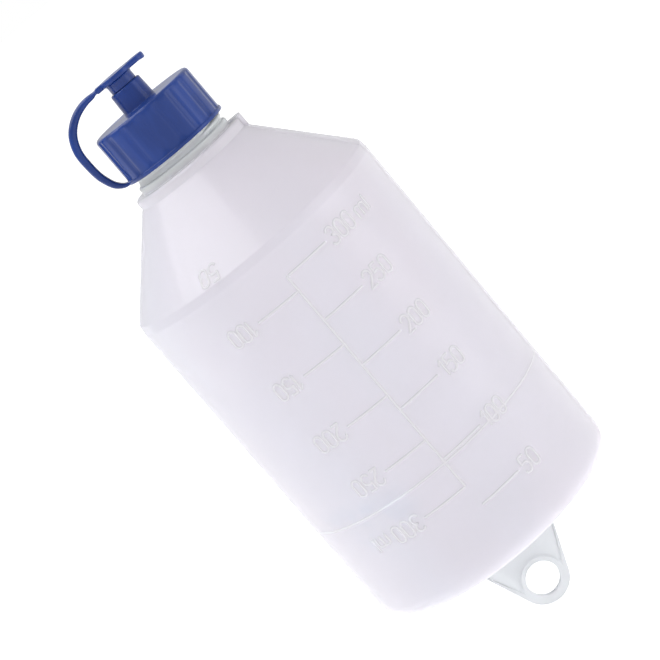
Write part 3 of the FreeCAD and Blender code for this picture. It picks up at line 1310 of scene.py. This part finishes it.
@dataclass
class Plug:
    """Plug with its plate, thumb tab, shoulder and stem."""

    stem_r: float = 3.25
    shoulder_r: float = 3.6
    shoulder_z: float = 143.0
    plate_r: float = 4.9
    plate_z: float = 145.4
    thumb_r: float = 3.0
    root_half: float = 2.0
    top_shares: tuple[float, ...] = (0.02, 0.2, 0.4, 0.6, 0.75, 0.88)
    top_edge: tuple[tuple[float, float], ...] = ((0.5, 0), (0.2, 0.06), (0, 0.4))
    under_edge: tuple[tuple[float, float], ...] = ((0, 0.35), (0.12, 0.1), (0.4, 0))
    fillet: float = 0.6
    dish_depth: float = 0.28
    dish_half: tuple[float, float] = (1.7, 1.6)
    gate_depth: float = 0.12
    gate_r: float = 0.7
    lip_height: float = 0.3
    lip_length: float = 1.5
    lip_ramp: float = 0.8

    def __post_init__(self) -> None:
        """Take the plate's ends and the heights from the CAD plug."""
        self.low, self.high = node_box("plug")

    def outline(self, angle: Array) -> Array:
        """Reach of the plate in each direction: the furthest of disc, thumb tab and strap root, softened.

        Args:
            angle: directions round Z.

        Returns:
            Distance from the axis to the plate's edge.
        """
        east, north = np.cos(angle), np.sin(angle)
        centre = self.high[0] - self.thumb_r
        arm = np.where(east > 0, self.thumb_r / np.maximum(np.abs(north), 1e-6), 0)
        cap = east * centre + np.sqrt(np.maximum(self.thumb_r ** 2 - (north * centre) ** 2, 0))
        thumb = np.where((east > 0) & (arm * east > centre), cap, arm)
        strap = np.where(east < 0, np.minimum(self.low[0] / np.minimum(east, -1e-6),
                                              self.root_half / np.maximum(np.abs(north), 1e-6)), 0)
        return np.maximum(np.maximum(thumb, strap), self.plate_r)

    def solid(self) -> Surface:
        """The plug as rings from the top's centre, over the plate's edge, in to the stem and down to its tip.

        A ring of the plate lies at a share of its outline or at an inset from it, and a ring of the stem has
        a plain radius. The top's edge gives pairs of inset and drop, the underside's edge pairs of inset and
        rise. The thumb tab is dished on top and carries a small lip below its end, and the mould's gate
        leaves a dimple in the middle.

        Returns:
            The surface.
        """
        angle = np.linspace(0, 2 * np.pi, PLUG_SIDES, endpoint=False)
        reach = self.outline(angle)
        top, under = self.high[2], self.plate_z
        flat = 0 * reach
        plate = [(share * reach, top + flat) for share in self.top_shares]
        plate += [(reach - inset, top - drop + flat) for inset, drop in self.top_edge]
        plate += [(reach - inset, under + rise + flat) for inset, rise in self.under_edge]
        plate += [(0.5 * reach + 0.5 * (self.shoulder_r + self.fillet), under + flat)]
        stem = [
            (self.shoulder_r + self.fillet, under),
            (self.shoulder_r + 0.18, under - 0.18),
            (self.shoulder_r, under - self.fillet),
            (self.shoulder_r, self.shoulder_z + 0.1),
            (self.shoulder_r - 0.1, self.shoulder_z),
            (self.stem_r, self.shoulder_z),
            (self.stem_r, self.low[2] + 1.2),
            (self.stem_r - 0.25, self.low[2] + 0.2),
            (self.stem_r - 0.5, self.low[2]),
            (0.5, self.low[2]),
        ]
        distance = np.stack([row[0] for row in plate] + [0 * angle + r for r, _ in stem])
        z = np.stack([row[1] for row in plate] + [0 * angle + height for _, height in stem])
        x, y = distance * np.cos(angle), distance * np.sin(angle)
        over = z > under + 0.2
        along, aside = self.dish_half
        off_thumb = ((x - self.high[0] + self.thumb_r) / along) ** 2 + (y / aside) ** 2
        dish = self.dish_depth * np.exp(-off_thumb ** 2)
        gate = self.gate_depth * np.exp(-((x / self.gate_r) ** 2 + (y / self.gate_r) ** 2) ** 3)
        lip = self.lip_height * np.clip((x - self.high[0] + self.lip_length) / self.lip_ramp, 0, 1)
        z = np.where(over, z - dish - gate, z - lip * (x > 0))
        return Surface().add(np.stack([x, y, z], axis=2))

    def build(self, plastic: bpy.types.Material) -> None:
        """Make the plug and let it ride on its body.

        Args:
            plastic: the finish.
        """
        plug = self.solid().piece("plug_stopper", plastic, Slot.CAP, PLUG_CREASE)
        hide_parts("plug")
        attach(plug, Body.PLUG.value)


@dataclass
class Strap:
    """Flexible strap from the plug's plate round to the cap's flange, by stations (x, z, thickness)."""

    half_width: float = 2.0
    bend_below: float = 0.5
    section_power: float = 0.55
    inside_power: float = 0.45
    outside_power: float = 0.8
    stations: tuple[tuple[float, float, float], ...] = (
        (-5.9, 146.1, 1.3), (-6.5, 146.12, 1.0), (-7.4, 146.0, 1.35), (-9.6, 145.9, 1.7),
        (-13.5, 144.75, 2.0), (-17.1, 141.8, 2.2), (-18.8, 137.9, 2.2), (-19.0, 134.0, 2.1),
        (-18.3, 128.8, 1.9), (-16.8, 125.8, 1.6), (-15.2, 124.6, 1.1), (-14.2, 124.35, 0.8),
    )

    def centre_line(self) -> tuple[Array, Array]:
        """Smooth centre line and thickness through the stations, as cubic Hermite spans.

        Each span uses the slopes of its ends' neighbours, scaled to the spans between them.

        Returns:
            Points (x, z) and the thickness at each.
        """
        knots = np.array(self.stations)
        run = np.concatenate([[0], np.cumsum(np.linalg.norm(np.diff(knots[:, :2], axis=0), axis=1))])
        slopes = np.gradient(knots, run, axis=0)
        where = np.linspace(0, run[-1], STRAP_RINGS)
        span = np.clip(np.searchsorted(run, where, side="right") - 1, 0, len(run) - 2)
        length = (run[span + 1] - run[span])[:, None]
        t = (where - run[span])[:, None] / length
        a, b = knots[span], knots[span + 1]
        points = ((2 * t ** 3 - 3 * t ** 2 + 1) * a + (t ** 3 - 2 * t ** 2 + t) * length * slopes[span]
                  + (3 * t ** 2 - 2 * t ** 3) * b + (t ** 3 - t ** 2) * length * slopes[span + 1])
        return points[:, :2], points[:, 2]

    def solid(self) -> Surface:
        """The strap: a rounded section carried along the centre line, crowned outside and flatter inside.

        Returns:
            The surface.
        """
        line, thickness = self.centre_line()
        ahead = np.gradient(line, axis=0)
        ahead /= np.linalg.norm(ahead, axis=1, keepdims=True)
        outward = np.stack([ahead[:, 1], -ahead[:, 0]], axis=1)
        angle = np.linspace(0, 2 * np.pi, STRAP_SIDES, endpoint=False)
        east, north = np.cos(angle), np.sin(angle)
        across = np.sign(east) * np.abs(east) ** self.section_power * self.half_width
        lift = np.sign(north) * np.abs(north) ** np.where(north < 0, self.inside_power, self.outside_power)
        place = line[:, None] + outward[:, None] * (lift[None] * thickness[:, None] / 2)[..., None]
        y = across[None] + 0 * thickness[:, None]
        return Surface().add(np.stack([place[..., 0], y, place[..., 1]], axis=2))

    def build(self, plastic: bpy.types.Material) -> None:
        """Make the strap, which runs in a curve between the cap and the plug.

        Args:
            plastic: the finish.
        """
        strap = self.solid().piece("strap_band", plastic, Slot.CAP, RIDGE_CREASE)
        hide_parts("plug_strap")
        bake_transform(strap)


# ---------------------------------------------------------------- studio


@dataclass(frozen=True)
class Softbox:
    """A rectangular area light that looks at a point."""

    name: str
    place: Point
    target: Point
    size: tuple[float, float]
    power: float
    colour: Colour = (1, 1, 1)

    def hang(self) -> None:
        """Make the light."""
        data = bpy.data.lights.new(self.name, "AREA")
        data.shape = "RECTANGLE"
        data.size, data.size_y = self.size
        data.energy = self.power
        data.color = self.colour
        lamp = bpy.data.objects.new(self.name, data)
        bpy.context.scene.collection.objects.link(lamp)
        lamp.location = self.place
        aim = Vector(self.target) - Vector(self.place)
        lamp.rotation_euler = aim.to_track_quat("-Z", "Y").to_euler()


@dataclass
class Studio:
    """White studio: floor, soft boxes, bright surroundings and the camera."""

    floor_drop: float = 0.16
    floor_half: float = 40.0
    elevation_deg: float = 10.3
    roll_deg: float = 40.4
    distance: float = 0.6125
    lens: float = 136.4
    aim: Point = (-0.0004, 0.0, 0.0652)
    sensor_width: float = 36.0
    front_glow: float = 0.6
    rear_glow: float = 0.78
    glow_turn: float = 0.8
    boxes: tuple[Softbox, ...] = (
        Softbox("overhead_left_box", (-0.33, 0.02, 0.80), (-0.33, 0.021, 0.0), (0.66, 1.1), 5.2),
        Softbox("low_left_strip", (-0.8, 0.07, -0.02), (0, 0, -0.02), (1.0, 0.1), 0.25),
        Softbox("right_box", (0.75, -0.35, 0.2), (0, 0, 0.1), (0.4, 0.9), 1.3),
    )

    def lay_floor(self) -> None:
        """Plain paper plane below the object."""
        half = self.floor_half
        z = CAD_BOX[0].z - self.floor_drop
        mesh = bpy.data.meshes.new("paper_floor")
        corners = [(-half, -half, z), (half, -half, z), (half, half, z), (-half, half, z)]
        mesh.from_pydata(corners, [], [(0, 1, 2, 3)])
        mesh.materials.append(StudioPaper().make())
        floor = bpy.data.objects.new("paper_floor", mesh)
        bpy.context.scene.collection.objects.link(floor)

    def light(self) -> None:
        """Bright surroundings and the soft boxes, shown without a film curve.

        The surroundings' glow follows a smooth step from the front to the rear. Where the background itself
        is looked at, it is plain white.
        """
        world = bpy.data.worlds.new("white_studio")
        bench = Bench(world)
        direction = bench.node("ShaderNodeTexCoord", {}, {}, "Generated")
        glow = bench.node("ShaderNodeMapRange", {"interpolation_type": "SMOOTHSTEP"}, {
            "Value": bench.node("ShaderNodeSeparateXYZ", {}, {0: direction}, "Y"),
            "From Min": -self.glow_turn,
            "From Max": self.glow_turn,
            "To Min": self.front_glow,
            "To Max": self.rear_glow,
        })
        seen = bench.node("ShaderNodeLightPath", {}, {}, "Is Camera Ray")
        strength = bench.node("ShaderNodeMix", {}, {"Factor": seen, "A": glow, "B": 1.0})
        background = bench.node("ShaderNodeBackground", {}, {"Color": (1, 1, 1, 1), "Strength": strength})
        bench.node("ShaderNodeOutputWorld", {}, {"Surface": background})
        bpy.context.scene.world = world
        bpy.context.scene.view_settings.view_transform = "Standard"
        for box in self.boxes:
            box.hang()

    def set_camera(self) -> None:
        """Camera in front of the graduations and a little above, rolled so that the bottle leans left."""
        rise = math.radians(self.elevation_deg)
        roll = math.radians(self.roll_deg)
        back = Vector((0, -math.cos(rise), math.sin(rise)))
        level = Vector((1, 0, 0))
        upright = back.cross(level)
        right = level * math.cos(roll) - upright * math.sin(roll)
        above = level * math.sin(roll) + upright * math.cos(roll)
        data = bpy.data.cameras.new("studio_camera")
        data.lens = self.lens
        data.sensor_width = self.sensor_width
        camera = bpy.data.objects.new("studio_camera", data)
        bpy.context.scene.collection.objects.link(camera)
        turn = Matrix((right, above, back)).transposed().to_4x4()
        camera.matrix_world = Matrix.Translation(Vector(self.aim) + back * self.distance) @ turn
        bpy.context.scene.camera = camera

    def build(self) -> None:
        """Set up the whole studio."""
        self.lay_floor()
        self.light()
        self.set_camera()


def main() -> None:
    """Build the pieces in order, then the studio."""
    logging.basicConfig(level=logging.INFO, format="%(name)s %(message)s")
    body_plastic = NaturalPlastic("natural_bottle_plastic").make()
    mark_plastic = NaturalPlastic(
        "natural_mark_plastic", thin=(0.635, 0.625, 0.665), thick=(0.62, 0.60, 0.64), transmission=0.0,
    ).make()
    tab_plastic = NaturalPlastic(
        "natural_tab_plastic", thin=(0.79, 0.81, 0.835), thick=(0.76, 0.78, 0.8),
    ).make()
    blue_plastic = ColouredPlastic().make()
    bottle = Bottle()
    bottle.build(body_plastic, mark_plastic)
    Tab().build(tab_plastic, bottle.recess_z)
    Washer().build(SealRubber().make())
    Cap().build(blue_plastic)
    Plug().build(blue_plastic)
    Strap().build(blue_plastic)
    Studio().build()


if __name__ == "__main__":
    main()
